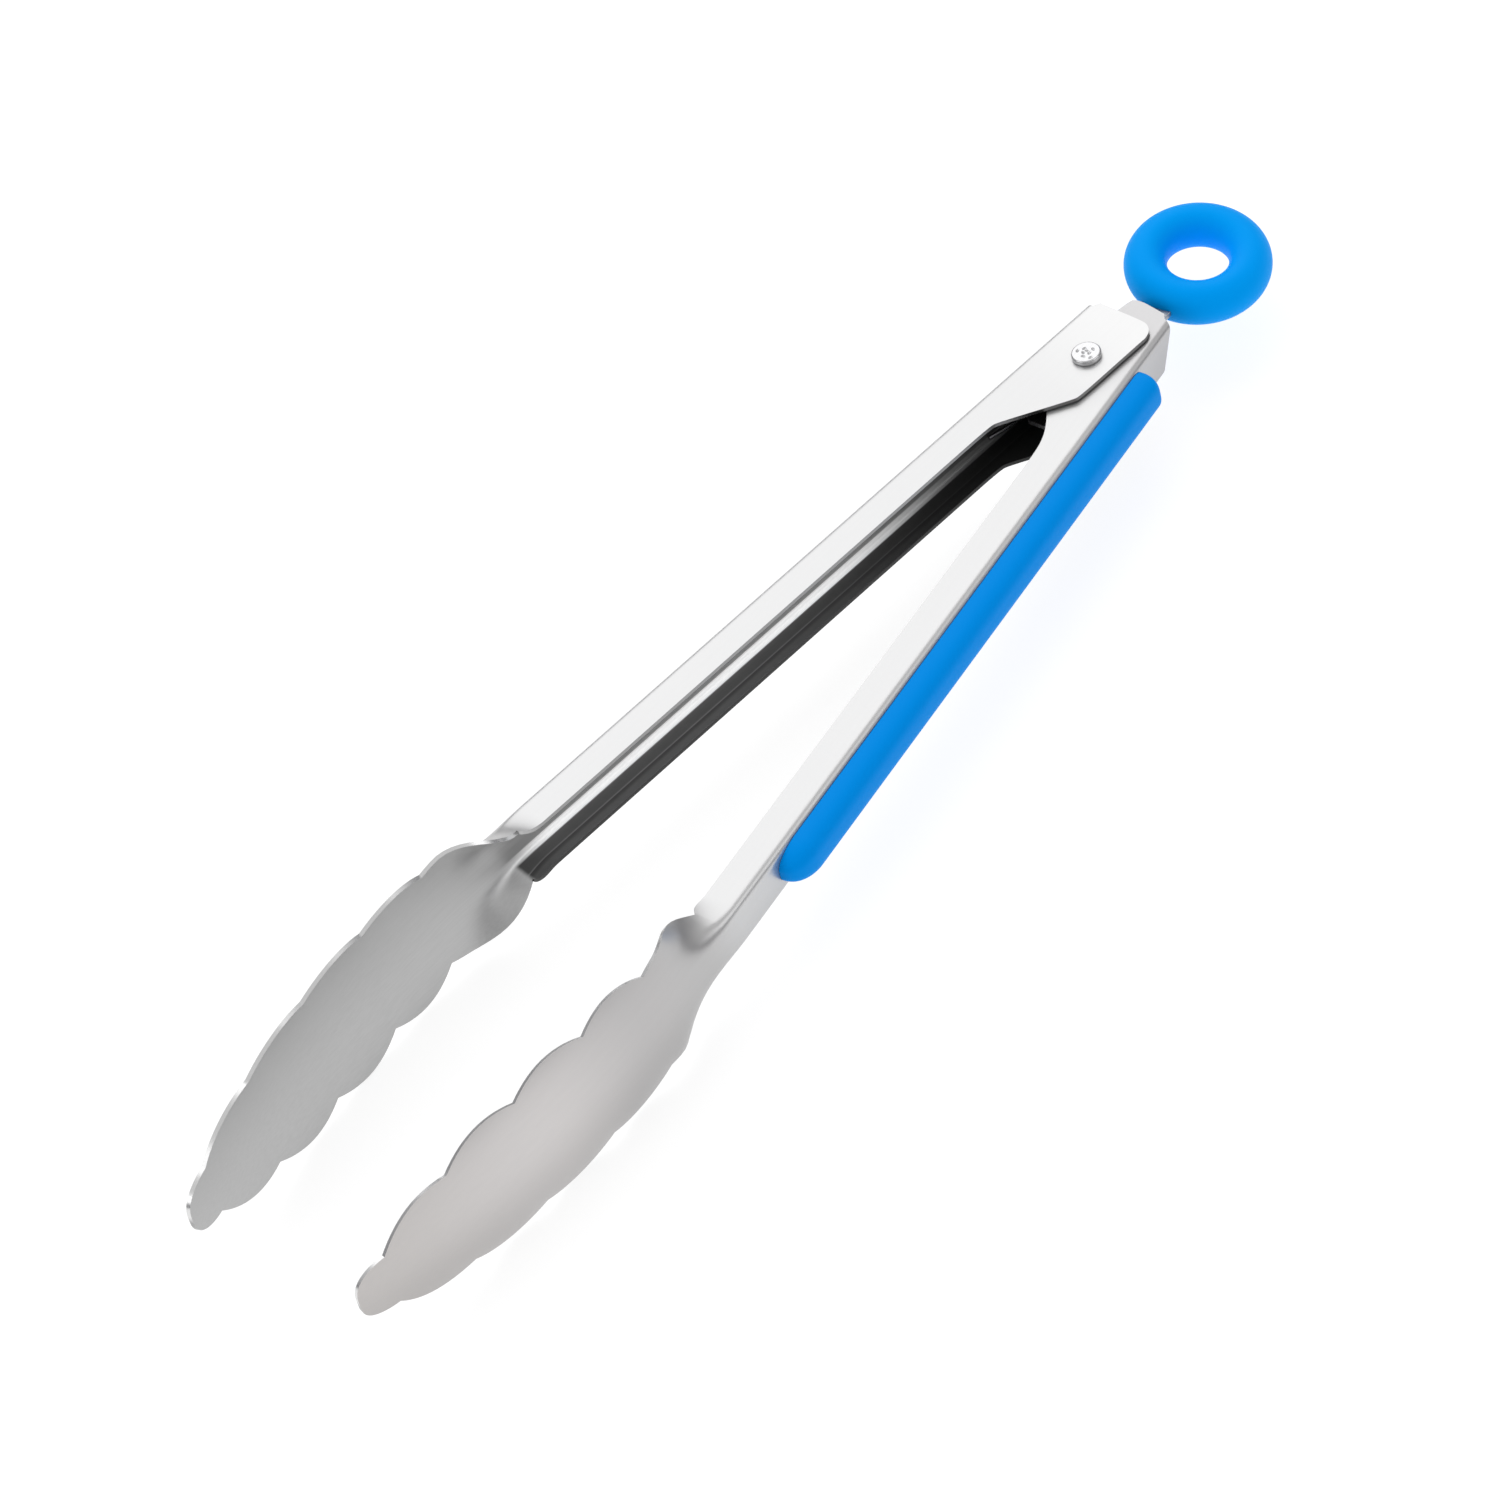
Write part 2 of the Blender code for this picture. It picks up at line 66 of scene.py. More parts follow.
# Sheet arms, as in the CAD
SHEET = 0.8 * MM
CLEARANCE = 0.3 * MM
WEB_DISTANCE = 10.25 * MM
FLANGE_DEPTH = 7.3 * MM
FOLD_RADIUS = 1.2 * MM
OUTER_HALF_WIDTH = 5.86 * MM
INNER_HALF_WIDTH = OUTER_HALF_WIDTH - SHEET - CLEARANCE
EAR_ROOT = -4.0 * MM
OUTER_WEB_END = (-11.2 * MM, -11.2 * MM)
INNER_WEB_END = (-15.2 * MM, -8.6 * MM)
OPENING_START = 147.0 * MM
NECK_START = 149.5 * MM
NECK_END = 170.0 * MM
CORNER_LENGTH = 3.0 * MM
CORNER_DEPTH = 1.6 * MM
CURVE_START = 158.5 * MM
CURVE_RADIUS = 250.0 * MM
DISH_RADIUS = 37.0 * MM
FOLD_SPREAD = 7.0 * MM
SCALLOP_RISE = 2.3 * MM
TIP_LENGTH = 251.8 * MM
TIP_BLUNTNESS = 0.1
RIM_ROUNDING = 0.22 * MM
SLOPE_SAMPLES = 64              # steps across the blank when the folded sheet's place is summed up

# Outlines of the sheet, in millimetres from the pivot. The ears' edges that face the other arm are
# (along, depth) points, the ears' ends (depth, along) points, and the cusps (along, half blank).
EAR_EDGE = 6.4
OUTER_EAR_EDGE = [(9.2, EAR_EDGE), (10.6, 5.8), (22.8, -2.2), (24.6, -2.95)]
INNER_EAR_EDGE = [(5.5, EAR_EDGE), (7.0, 5.8), (15.5, 0.2), (20.5, -2.1), (25.0, -2.95)]
OUTER_EAR_END = [(-8.6, -12.5), (2.8, -13.2), (4.2, -12.9), (5.5, -12.0), (6.1, -11.0), (6.4, -9.9)]
INNER_EAR_END = [(-8.6, -9.2), (2.0, -11.2), (4.2, -10.9), (5.8, -10.0), (6.4, -8.6)]
TONGUE_END = [(-8.6, -16.2), (0.2, -18.7), (1.1, -14.6), (2.6, -12.6), (4.9, -11.4), (6.4, -9.6)]
SCALLOP_CUSPS = [(173.4, 12.1), (190.6, 13.2), (209.0, 13.4), (227.2, 11.5), (244.2, 6.0)]

# Silicone grip, from its nose at the hinge to its tail at the neck
GRIP_START = -1.9 * MM
GRIP_END = 134.5 * MM
GRIP_HEIGHT = 5.0 * MM
GRIP_INSET = 0.9 * MM
GRIP_GAP = 0.06 * MM
GRIP_NOSE = 2.4 * MM
GRIP_TAIL = 7.0 * MM

# Rivet, lock slide, ring and spring
HOLE_RADIUS = 2.15 * MM
SHANK_RADIUS = 2.0 * MM
HEAD_RADIUS = 2.95 * MM
CROWN_RADIUS = 2.6 * MM
HEAD_HEIGHT = 0.9 * MM
HEAD_SEAT = 0.22 * MM           # how far the head's underside reaches into the clearance
DENT_COUNT = 8
DENT_DEPTH = 0.24 * MM
DENT_SIZE = (0.2 * MM, 0.42 * MM)
EYE_CENTRE = 35.75 * MM
EYE_RADIUS = 12.7 * MM
EYE_HOLE_RADIUS = 8.6 * MM
RING_RADIUS = 10.3 * MM
RING_TUBE = 4.25 * MM
RING_HALF_HEIGHT = 4.45 * MM
RING_LEAN = math.radians(9.0)   # the soft ring sits a little twisted on its plate
SLIDE_THICKNESS = 1.0 * MM
SLIDE_ROUNDING = 0.15 * MM
WIRE_RADIUS = 0.45 * MM
COIL_RADIUS = 3.8 * MM
LEG_REACH = 20.0 * MM

# Grain of the finishes: noise cycles per metre along the brushing and across it
FINE_BRUSHING = (14.0, 2600.0, 2600.0)
BROAD_BRUSHING = (6.0, 1100.0, 1100.0)
SILICONE_GRAIN = (2200.0, 2200.0, 2200.0)

# Camera
CAMERA_FROM_PIVOT = Vector((-0.71151, -0.70472, 0.90929))
CAMERA_FORWARD = Vector((0.46342, 0.54265, -0.70055))
CAMERA_ROLL = math.radians(16.34)
CAMERA_LENS = 168.0


# ---------------------------------------------------------------- materials

def node_material(name):
    material = bpy.data.materials.new(name)
    material.use_nodes = True
    tree = material.node_tree
    return material, tree, tree.nodes["Principled BSDF"]


def mapped(tree, vector, setting, value):
    """The vector after a mapping with one of its settings changed."""
    node = tree.nodes.new("ShaderNodeMapping")
    node.inputs[setting].default_value = value
    tree.links.new(vector, node.inputs["Vector"])
    return node.outputs["Vector"]


def brushing_noise(tree, grain, turn, detail):
    """Noise with the grain's first number along the direction at the given angle to x."""
    place = tree.nodes.new("ShaderNodeTexCoord").outputs["Object"]
    aligned = mapped(tree, place, "Rotation", (0.0, 0.0, -turn))
    noise = tree.nodes.new("ShaderNodeTexNoise")
    noise.inputs["Scale"].default_value = 1.0
    noise.inputs["Detail"].default_value = detail
    tree.links.new(mapped(tree, aligned, "Scale", grain), noise.inputs["Vector"])
    return noise.outputs["Fac"]


def map_range(tree, value, start, end, low=0.0, high=1.0, curve="LINEAR"):
    """Goes from low to high while the value goes from start to end."""
    node = tree.nodes.new("ShaderNodeMapRange")
    node.interpolation_type = curve
    node.inputs["From Min"].default_value = start
    node.inputs["From Max"].default_value = end
    node.inputs["To Min"].default_value = low
    node.inputs["To Max"].default_value = high
    tree.links.new(value, node.inputs["Value"])
    return node.outputs["Result"]


def fade(tree, value, start, end, low=0.0, high=1.0):
    """Goes smoothly from low to high while the value goes from start to end."""
    return map_range(tree, value, start, end, low, high, "SMOOTHSTEP")


def vary(tree, noise, low, high):
    """Spreads the middle of the noise's range from low to high."""
    return map_range(tree, noise, 0.3, 0.7, low, high)


def combine(tree, operation, first, second):
    """Result of a math node on two sockets or numbers."""
    node = tree.nodes.new("ShaderNodeMath")
    node.operation = operation
    for socket, value in zip(node.inputs, (first, second)):
        if isinstance(value, float):
            socket.default_value = value
        else:
            tree.links.new(value, socket)
    return node.outputs["Value"]


def product(tree, first, *others):
    for other in others:
        first = combine(tree, "MULTIPLY", first, other)
    return first


def total(tree, first, *others):
    for other in others:
        first = combine(tree, "ADD", first, other)
    return first


def opposite(tree, value):
    """What the value leaves of one."""
    return combine(tree, "SUBTRACT", 1.0, value)


def mix_values(tree, factor, first, second):
    return total(tree, product(tree, first, opposite(tree, factor)), product(tree, second, factor))


def colour_ramp(tree, factor, stops, curve="LINEAR"):
    """Colour that follows the factor through the given (position, colour) stops."""
    ramp = tree.nodes.new("ShaderNodeValToRGB")
    ramp.color_ramp.interpolation = curve
    elements = ramp.color_ramp.elements
    for position, _ in stops[1:-1]:
        elements.new(position)
    for element, (position, colour) in zip(elements, stops):
        element.position = position
        element.color = (*colour, 1.0)
    tree.links.new(factor, ramp.inputs["Fac"])
    return ramp.outputs["Color"]


def colour_profile(tree, along, stops):
    """Colour that changes along an arm through the given (millimetres, colour) stops."""
    start, end = stops[0][0], stops[-1][0]
    shares = [((place - start) / (end - start), colour) for place, colour in stops]
    return colour_ramp(tree, map_range(tree, along, start * MM, end * MM), shares, "EASE")


def shaded(tree, colour, value):
    """The colour times the value."""
    scale = tree.nodes.new("ShaderNodeVectorMath")
    scale.operation = "SCALE"
    tree.links.new(colour, scale.inputs[0])
    tree.links.new(value, scale.inputs["Scale"])
    return scale.outputs["Vector"]


def grey(level):
    return (level, level, level)


def add_bump(tree, shader, height, distance):
    bump = tree.nodes.new("ShaderNodeBump")
    bump.inputs["Distance"].default_value = distance
    bump.inputs["Strength"].default_value = 1.0
    tree.links.new(height, bump.inputs["Height"])
    tree.links.new(bump.outputs["Normal"], shader.inputs["Normal"])


def brushed_steel(name, colour, roughness, grain=0.05):
    """Bright steel of a small part, finely brushed along x."""
    material, tree, shader = node_material(name)
    shader.inputs["Metallic"].default_value = 1.0
    fine = brushing_noise(tree, FINE_BRUSHING, 0.0, 3.0)
    mix = tree.nodes.new("ShaderNodeMix")
    mix.data_type = "RGBA"
    mix.inputs["A"].default_value = (*[c * 0.96 for c in colour], 1.0)
    mix.inputs["B"].default_value = (*[c * 1.04 for c in colour], 1.0)
    tree.links.new(vary(tree, fine, 0.0, 1.0), mix.inputs["Factor"])
    tree.links.new(mix.outputs["Result"], shader.inputs["Base Color"])
    tree.links.new(vary(tree, fine, roughness - grain, roughness + grain), shader.inputs["Roughness"])
    add_bump(tree, shader, fine, 0.004 * MM)
    return material


def arm_coordinates(tree, turn):
    """Place on an arm: along it from the pivot, across it in the tongs' plane, and its height."""
    place = tree.nodes.new("ShaderNodeTexCoord").outputs["Object"]
    from_pivot = mapped(tree, place, "Location", -PIVOT)
    split = tree.nodes.new("ShaderNodeSeparateXYZ")
    tree.links.new(mapped(tree, from_pivot, "Rotation", (0.0, 0.0, -turn)), split.inputs["Vector"])
    return split.outputs["X"], split.outputs["Y"], split.outputs["Z"]


def outside_steel(name, turn, ear):
    """The sheet's outer face: brushed along the arm, light in the handle and warmer in the spoon, with
    painted shade at the neck and on its low side and a painted warm reflection in the spoon.
    """
    material, tree, shader = node_material(name)
    along, _, height = arm_coordinates(tree, turn)
    handle = (0.61, 0.61, 0.612)
    # Painted light along the arm: the darker neck is painted shade, the lighter warm band near 205 mm a
    # painted reflection.
    stops = [(-12, ear), (14, handle), (146, handle), (160, (0.50, 0.495, 0.495)),
             (176, (0.50, 0.49, 0.49)), (205, (0.61, 0.59, 0.585)), (252, (0.53, 0.51, 0.50))]
    broad = brushing_noise(tree, BROAD_BRUSHING, turn, 2.0)
    # Painted shade: the face gets darker towards its low side, down in z.
    painted_low_shade = fade(tree, height, -14 * MM, 4 * MM, 0.78, 1.0)
    shade = product(tree, vary(tree, broad, 0.985, 1.01), painted_low_shade)
    colour = shaded(tree, colour_profile(tree, along, stops), shade)
    tree.links.new(colour, shader.inputs["Base Color"])
    shader.inputs["Metallic"].default_value = 0.85
    tree.links.new(vary(tree, broad, 0.32, 0.36), shader.inputs["Roughness"])
    return material


def edge_steel(name, turn):
    """The sheet's cut edges: painted dark shade lines in the ears and handle, a painted bright highlight
    round the spoon, and painted shade on their low side.
    """
    material, tree, shader = node_material(name)
    along, _, height = arm_coordinates(tree, turn)
    ear, handle, spoon = grey(0.25), grey(0.32), grey(0.72)
    # Painted light: the dark greys stand in for the shade lines along the rims, the bright spoon grey for
    # a highlight.
    stops = [(0, ear), (20, ear), (40, handle), (146, handle), (160, spoon)]
    # Painted shade on the edges' low side, deepest in the handle.
    painted_low_shade = fade(tree, along, 150 * MM, 165 * MM, 0.16, 0.5)
    shade = mix_values(tree, fade(tree, height, -1 * MM, 1 * MM), painted_low_shade, 1.0)
    colour = shaded(tree, colour_profile(tree, along, stops), shade)
    tree.links.new(colour, shader.inputs["Base Color"])
    shader.inputs["Metallic"].default_value = 1.0
    shader.inputs["Roughness"].default_value = 0.27
    return material


def painted_flange_shading(tree, along, depth):
    """Painted shade of a flange's inner face: darker towards the hinge, with a painted thin highlight
    line along it and painted dark shade beside it.
    """
    # Painted shade: near black at the hinge, lighter towards the neck.
    base = fade(tree, along, 25 * MM, 110 * MM, 0.016, 0.125)
    # Painted reflection lines: a thin highlight, a darker line beside it, and lighter again towards the
    # rim.
    line = fade(tree, depth, -5.9 * MM, -5.6 * MM)
    painted_dark_line = fade(tree, depth, -5.5 * MM, -5.4 * MM, 0.0, 1.35)
    rim = fade(tree, depth, -5.1 * MM, -4.2 * MM, 0.0, 0.5)
    painted_lines = total(tree, combine(tree, "SUBTRACT", line, painted_dark_line), rim)
    return product(tree, base, total(tree, 1.0, painted_lines))


def inside_steel(name, turn, side):
    """The sheet's inner face: satin spoon, a web with painted light along its folds, and flanges with
    painted shade that gets darker towards the hinge.
    """
    material, tree, shader = node_material(name)
    along, across, height = arm_coordinates(tree, turn)
    depth = product(tree, across, float(side))
    handle = fade(tree, along, 158 * MM, 141 * MM)
    # Painted shade: the mask of the dark strip on the handle's flange faces, with its rounded end at the
    # neck.
    flange = product(tree, fade(tree, depth, -8.75 * MM, -8.25 * MM),
                     fade(tree, along, 153.2 * MM, 152.0 * MM))
    # Painted light: the web is lighter along its folds and darker towards the hinge.
    fold = fade(tree, combine(tree, "ABSOLUTE", height, 0.0), 3.3 * MM, 3.9 * MM)
    web = product(tree, fade(tree, fold, 0.0, 1.0, 0.45, 1.0),
                  fade(tree, along, 24 * MM, 65 * MM, 0.2, 1.0))
    # Painted shading: the spoon's inside gets a little lighter towards -z.
    spoon = fade(tree, height, 12 * MM, -12 * MM, 0.43, 0.53)
    level = mix_values(tree, flange, mix_values(tree, handle, spoon, web),
                       painted_flange_shading(tree, along, depth))
    fine = vary(tree, brushing_noise(tree, FINE_BRUSHING, turn, 3.0), -0.04, 0.04)
    level = total(tree, level, product(tree, level, fine))
    colour = tree.nodes.new("ShaderNodeCombineColor")
    for channel in ("Red", "Green", "Blue"):
        tree.links.new(level, colour.inputs[channel])
    tree.links.new(colour.outputs["Color"], shader.inputs["Base Color"])
    tree.links.new(mix_values(tree, handle, 0.7, 0.12), shader.inputs["Metallic"])
    roughness = total(tree, mix_values(tree, handle, 0.4, 0.42), fine)
    tree.links.new(roughness, shader.inputs["Roughness"])
    # The folds of the web give a little light of their own, as if they caught the bright room.
    lit = fade(tree, along, 30 * MM, 75 * MM, 0.0, 0.36)
    shader.inputs["Emission Color"].default_value = (*grey(1.0), 1.0)
    tree.links.new(product(tree, handle, fold, lit, opposite(tree, flange)),
                   shader.inputs["Emission Strength"])
    return material


def silicone(name, colour):
    """Matte blue rubber with a fine grain and a weak bluish sheen."""
    material, tree, shader = node_material(name)
    shader.inputs["Base Color"].default_value = (*colour, 1.0)
    shader.inputs["Specular IOR Level"].default_value = 0.07
    shader.inputs["Specular Tint"].default_value = (0.1, 0.6, 1.0, 1.0)
    grain = brushing_noise(tree, SILICONE_GRAIN, 0.0, 2.0)
    tree.links.new(vary(tree, grain, 0.42, 0.52), shader.inputs["Roughness"])
    add_bump(tree, shader, grain, 0.006 * MM)
    return material


# ---------------------------------------------------------------- mesh helpers

def link_mesh(name, shape, materials, smooth_angle=40.0):
    """Linked object made from the shape, smooth except at edges sharper than the angle."""
    bmesh.ops.recalc_face_normals(shape, faces=shape.faces)
    mesh = bpy.data.meshes.new(name)
    shape.to_mesh(mesh)
    shape.free()
    for material in materials:
        mesh.materials.append(material)
    mesh.shade_smooth()
    mesh.set_sharp_from_angle(angle=math.radians(smooth_angle))
    item = bpy.data.objects.new(name, mesh)
    bpy.context.scene.collection.objects.link(item)
    return item


def bridge(shape, rings, closed, material=0):
    """Quads between neighbouring rings of vertices."""
    count = len(rings[0])
    for ring, following in zip(rings, rings[1:]):
        for index in range(count if closed else count - 1):
            after = (index + 1) % count
            face = shape.faces.new((ring[index], ring[after], following[after], following[index]))
            face.material_index = material


def bake_modifiers(item):
    """Turns the modified shape into the object's own mesh."""
    graph = bpy.context.evaluated_depsgraph_get()
    mesh = bpy.data.meshes.new_from_object(item.evaluated_get(graph))
    item.modifiers.clear()
    item.data = mesh


def round_edges(item, width, material=-1):
    """Bevels the sharp edges, with the given material slot on the bevels."""
    bevel = item.modifiers.new("rounding", "BEVEL")
    bevel.material = material
    bevel.width = width
    bevel.segments = 2
    bevel.limit_method = "ANGLE"
    bevel.angle_limit = math.radians(50.0)
    weighted = item.modifiers.new("flat_faces", "WEIGHTED_NORMAL")
    weighted.keep_sharp = True


def cut_away(item, cutters):
    """Subtracts the cutters from the item by modifiers."""
    for cutter in cutters:
        cut = item.modifiers.new(cutter.name, "BOOLEAN")
        cut.operation = "DIFFERENCE"
        cut.object = cutter
        cut.solver = "EXACT"


def remove(items):
    for item in items:
        bpy.data.objects.remove(item, do_unlink=True)


def cylinder(name, radius, depth, segments, centre=0.0):
    """Upright cylinder with its axis at x = centre."""
    shape = bmesh.new()
    bmesh.ops.create_cone(shape, cap_ends=True, segments=segments, radius1=radius, radius2=radius,
                          depth=depth, matrix=Matrix.Translation((centre, 0, 0)))
    return link_mesh(name, shape, [])


def place_on_pivot(item, turn=0.0):
    """Moves a shape made round the origin to the pivot, turned in the tongs' plane."""
    item.data.transform(Matrix.Translation(PIVOT) @ Matrix.Rotation(turn, 4, "Z"))


# ---------------------------------------------------------------- the stamped sheet of an arm

def smooth_step(value):
    value = np.clip(value, 0.0, 1.0)
    return value * value * (3.0 - 2.0 * value)


def fold_start(half_width):
    """How far across the blank the flat web reaches."""
    return half_width - SHEET / 2 - FOLD_RADIUS


def flange_start(half_width):
    """How far across the blank the fold reaches."""
    return fold_start(half_width) + FOLD_RADIUS * math.pi / 2


def handle_blank(half_width):
    """Half width of the handle's blank, up to the flange's rim."""
    return flange_start(half_width) + FLANGE_DEPTH - SHEET / 2 - FOLD_RADIUS


def rounded_line(points, rounds=3, share=0.22):
    """Cuts the corners of a line of points, and keeps its two ends."""
    for _ in range(rounds):
        cut = [points[0]]
        for (ax, ay), (bx, by) in zip(points, points[1:]):
            cut.append((ax + (bx - ax) * share, ay + (by - ay) * share))
            cut.append((bx + (ax - bx) * share, by + (ay - by) * share))
        points = cut + [points[-1]]
    return points


def sheet_angle(s, t, half_width):
    """Slope of the sheet against the web: folded in the handle, dished in the spoon."""
    opened = smooth_step((s - OPENING_START) / (NECK_END - OPENING_START))
    fold = math.pi / 2 * (1.0 - opened)
    width = FOLD_RADIUS * math.pi / 2 + FOLD_SPREAD * opened
    centre = (fold_start(half_width) + flange_start(half_width)) / 2
    ramp = np.clip((t - centre) / width + 0.5, 0.0, 1.0)
    return fold * ramp + opened * t / DISH_RADIUS


def sheet_point(s, t, offset, half_width):
    """Point of the arm (u along, v towards the other arm, w across), offset from mid-sheet."""
    reach = abs(t)
    middles = (np.arange(SLOPE_SAMPLES) + 0.5) / SLOPE_SAMPLES * reach
    angles = sheet_angle(s, middles, half_width)
    height = float(np.sin(angles).sum()) * reach / SLOPE_SAMPLES
    across = float(np.cos(angles).sum()) * reach / SLOPE_SAMPLES
    slope = float(sheet_angle(s, np.array(reach), half_width))
    height += offset * math.cos(slope)
    across -= offset * math.sin(slope)
    turn = max(s - CURVE_START, 0.0) / CURVE_RADIUS
    u = min(s, CURVE_START) + CURVE_RADIUS * math.sin(turn)
    v = SHEET / 2 - WEB_DISTANCE + CURVE_RADIUS * (1 - math.cos(turn))
    return u - height * math.sin(turn), v + height * math.cos(turn), math.copysign(across, t)


def ear_stations(half_width, ear_edge):
    """Stations (s, half blank) from the ear's root along the ear's edge to the handle."""
    base = flange_start(half_width) - (FOLD_RADIUS + SHEET / 2 - WEB_DISTANCE)
    edge = [(EAR_ROOT, EAR_EDGE * MM)] + [(s * MM, v * MM) for s, v in ear_edge]
    handle_edge = edge[-1][1]
    edge = rounded_line(edge + [(40 * MM, handle_edge)])
    edge += [(s * MM, handle_edge) for s in (60, 90, 120)]
    return [(s, base + v) for s, v in edge]


def spoon_stations(half_width, steps=14):
    """Stations (s, half blank) round the flange's end, then through the scallops and the tip."""
    blank = handle_blank(half_width)
    cusps = [(NECK_START + CORNER_LENGTH, blank - CORNER_DEPTH)]
    cusps += [(s * MM, t * MM) for s, t in SCALLOP_CUSPS]
    stations = [(s, blank) for s in np.linspace(OPENING_START, NECK_START, steps, endpoint=False)]
    for angle in np.linspace(0.0, math.pi / 2, steps, endpoint=False):
        stations.append((NECK_START + CORNER_LENGTH * math.sin(angle),
                         blank - CORNER_DEPTH * (1.0 - math.cos(angle))))
    for (s0, t0), (s1, t1) in zip(cusps, cusps[1:]):
        length = math.hypot(s1 - s0, t1 - t0)
        normal = (-(t1 - t0) / length, (s1 - s0) / length)
        for share in np.arange(steps) / steps:
            bulge = SCALLOP_RISE * 4.0 * share * (1.0 - share)
            stations.append((s0 + (s1 - s0) * share + normal[0] * bulge,
                             t0 + (t1 - t0) * share + normal[1] * bulge))
    last_s, last_t = cusps[-1]
    for angle in np.linspace(0.0, math.pi / 2, 2 * steps):
        s = last_s + (TIP_LENGTH - last_s) * math.sin(angle)
        t = last_t * (TIP_BLUNTNESS + (1 - TIP_BLUNTNESS) * math.cos(angle) ** 0.75)
        stations.append((s, t))
    return stations


def width_lines(half_width):
    """Places across half of the handle's blank where the mesh has its lines."""
    start = fold_start(half_width)
    flat = flange_start(half_width)
    blank = handle_blank(half_width)
    web = [start * share for share in (0.25, 0.5, 0.75)]
    folds = [start + (flat - start) * share for share in np.linspace(0.0, 1.0, 9)]
    shares = [1 - (1 - share) ** 1.4 for share in np.linspace(0.0, 1.0, 27)[1:]]
    return web + folds + [flat + (blank - flat) * share for share in shares]


def end_station(t, half_width, web_end, ears):
    """Where the sheet ends behind the pivot: the web's straight end, or an ear's outline."""
    corner = flange_start(half_width)
    if abs(t) <= corner:
        share = (t + corner) / (2 * corner)
        return web_end[1] + (web_end[0] - web_end[1]) * share
    depth = abs(t) - corner + FOLD_RADIUS + SHEET / 2 - WEB_DISTANCE
    ear = ears[0] if t > 0 else ears[1]
    return float(np.interp(depth, [point[0] for point in ear], [point[1] for point in ear]))


def arm_shape(half_width, ear_edge, web_end, ears, side):
    """The arm along +x as a closed sheet. Material 0 outside, 1 inside, 2 on the cut edges."""
    ears = [rounded_line([(v * MM, s * MM) for v, s in ear]) for ear in ears]
    lines = width_lines(half_width)
    across = [-line for line in reversed(lines)] + [0.0] + lines
    flat = flange_start(half_width)
    plain = handle_blank(half_width)
    stations = ear_stations(half_width, ear_edge) + spoon_stations(half_width)

    def widened(line, blank, s):
        if s >= NECK_START:
            return line * blank / plain
        if blank > plain and line > flat:
            return flat + (line - flat) * (blank - flat) / (plain - flat)
        return line

    first = [math.copysign(widened(abs(line), stations[0][1], 0.0), line) for line in across]
    rows = [[(end_station(t, half_width, web_end, ears), t) for t in first]]
    for s, blank in stations:
        rows.append([(s, math.copysign(widened(abs(line), blank, s), line)) for line in across])
    shape = bmesh.new()
    grids = []
    for material, offset in enumerate((-SHEET / 2, SHEET / 2)):
        grid = []
        for row in rows:
            points = [sheet_point(s, t, offset, half_width) for s, t in row]
            grid.append([shape.verts.new((u, side * v, w)) for u, v, w in points])
        bridge(shape, grid, closed=False, material=material)
        grids.append(grid)
    outer, inner = grids
    last_row, last_line = len(rows) - 1, len(across) - 1
    border = [(0, index) for index in range(last_line)]
    border += [(index, last_line) for index in range(last_row)]
    border += [(last_row, index) for index in range(last_line, 0, -1)]
    border += [(index, 0) for index in range(last_row, 0, -1)]
    for (a, b), (c, d) in zip(border, border[1:] + border[:1]):
        face = shape.faces.new((outer[a][b], outer[c][d], inner[c][d], inner[a][b]))
        face.material_index = 2
    return shape


def build_arm(name, shape, materials, turn, body):
    item = link_mesh(name, shape, materials)
    drill = cylinder("rivet_drill", HOLE_RADIUS, 20 * MM, 64)
    cut_away(item, [drill])
    round_edges(item, RIM_ROUNDING, material=2)
    bake_modifiers(item)
    remove([drill])
    place_on_pivot(item, turn)
    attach(item, body)
    return item


def build_arms():
    outer = arm_shape(OUTER_HALF_WIDTH, OUTER_EAR_EDGE, OUTER_WEB_END, (OUTER_EAR_END, OUTER_EAR_END), 1)
    outer_steel = [outside_steel("outer_arm_satin", OUTER_TURN, grey(0.66)),
                   inside_steel("outer_arm_inside", OUTER_TURN, 1),
                   edge_steel("outer_arm_edge", OUTER_TURN)]
    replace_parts(build_arm("outer_arm_sheet", outer, outer_steel, OUTER_TURN, "outer_side"), "outer_arm")
    inner = arm_shape(INNER_HALF_WIDTH, INNER_EAR_EDGE, INNER_WEB_END, (TONGUE_END, INNER_EAR_END), -1)
    inner_steel = [outside_steel("inner_arm_satin", INNER_TURN, (0.52, 0.515, 0.52)),
                   inside_steel("inner_arm_inside", INNER_TURN, -1),
                   edge_steel("inner_arm_edge", INNER_TURN)]
    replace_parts(build_arm("inner_arm_sheet", inner, inner_steel, INNER_TURN, "inner_side"), "inner_arm")


# ---------------------------------------------------------------- grip and ring

def grip_stations():
    """Stations (s, width share, height share) from the blunt nose to the rounded tail."""
    nose_width, nose_height = 0.78, 0.45
    tail_width, tail_height = 0.2, 0.15
    nose_end, tail_start = GRIP_START + GRIP_NOSE, GRIP_END - GRIP_TAIL
    stations = []
    for share in np.linspace(0.0, 1.0, 22):
        rise = math.sqrt(1.0 - (1.0 - share) ** 2)
        stations.append((GRIP_START + GRIP_NOSE * share, nose_width + (1 - nose_width) * rise,
                         nose_height + (1 - nose_height) * rise))
    for share in np.linspace(0.0, 1.0, 12)[1:-1]:
        stations.append((nose_end + (tail_start - nose_end) * share, 1.0, 1.0))
    for share in np.sin(np.linspace(0.0, math.pi / 2, 20)):
        fall = math.sqrt(max(1.0 - share * share, 0.0))
        stations.append((tail_start + GRIP_TAIL * share, tail_width + (1 - tail_width) * fall,
                         tail_height + (1 - tail_height) * fall))
    return stations


